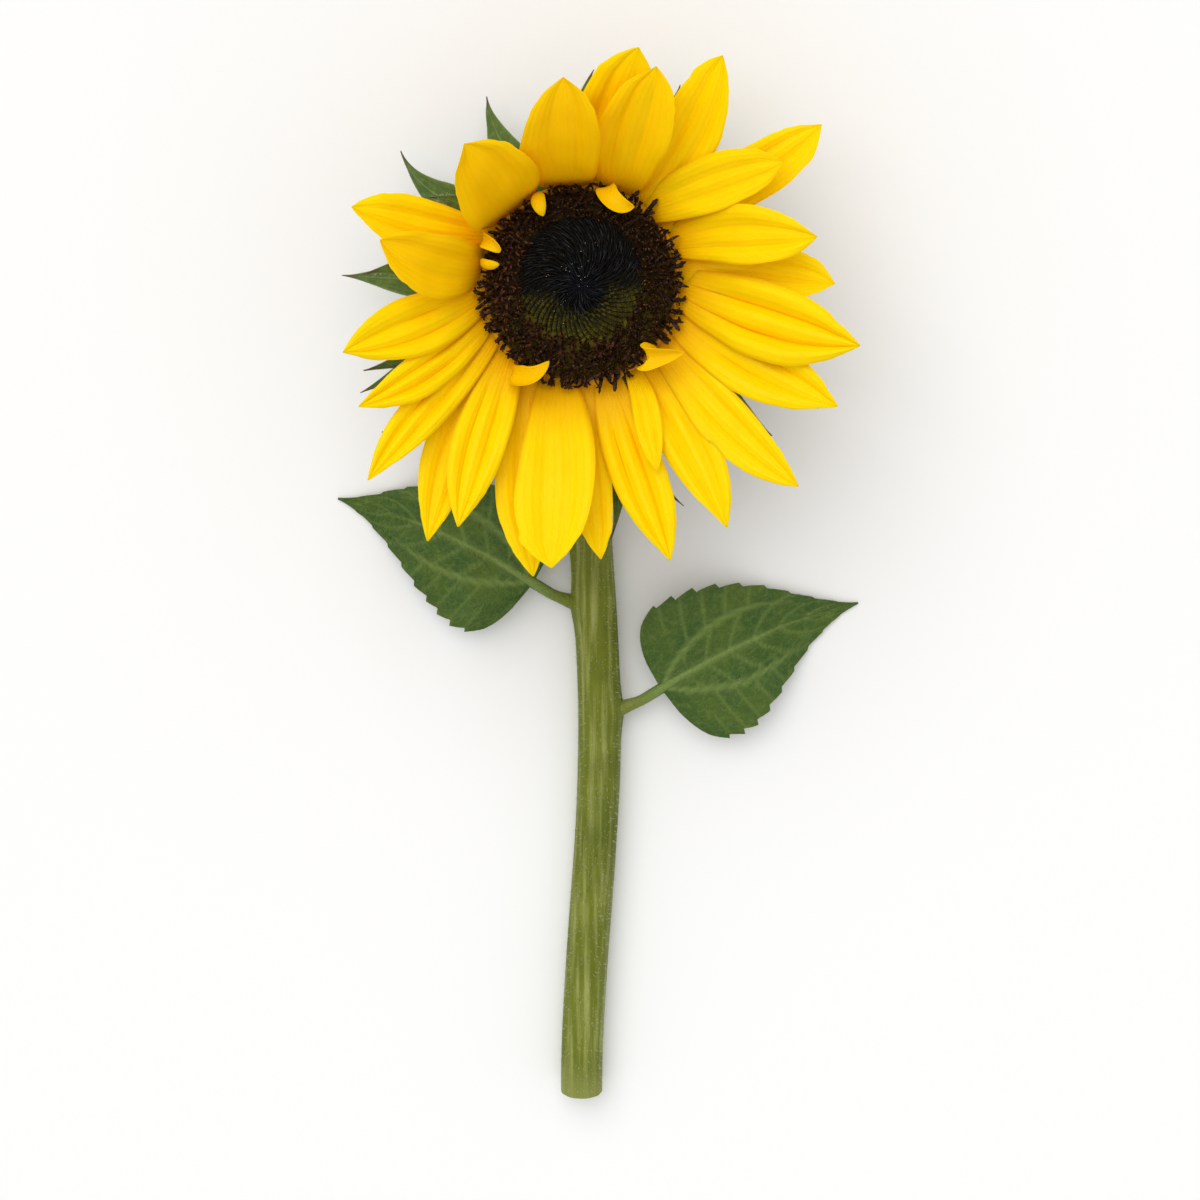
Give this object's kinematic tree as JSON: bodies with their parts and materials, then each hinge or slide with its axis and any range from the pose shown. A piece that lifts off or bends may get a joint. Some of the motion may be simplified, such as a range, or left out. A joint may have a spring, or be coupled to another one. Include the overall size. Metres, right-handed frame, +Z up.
{
  "type": "cut sunflower",
  "caption": "Single cut sunflower laid on its back: yellow ray petals round a dark brown disc, green bracts, and a bare round stem with small upper leaves.",
  "frame": {"origin": "centre of the footprint, on the surface that the flower lies on", "axes": "+Y along the lying stem from its cut end to the head, +Z up, out of the face of the head, +X to the right of the stem seen from above"},
  "size_m": [0.1711, 0.3656, 0.0888],
  "materials": {
    "stem_green": "matte",
    "bract_green": "matte",
    "petal_yellow": "matte",
    "disc_brown": "matte",
    "leaf_green": "matte"
  },
  "bodies": {
    "root": {"stem": "stem_green", "bract_cup": "bract_green", "ray_petals": "petal_yellow", "disc_florets": "disc_brown", "leaf_left": "leaf_green", "leaf_right": "leaf_green"}
  },
  "joints": []
}
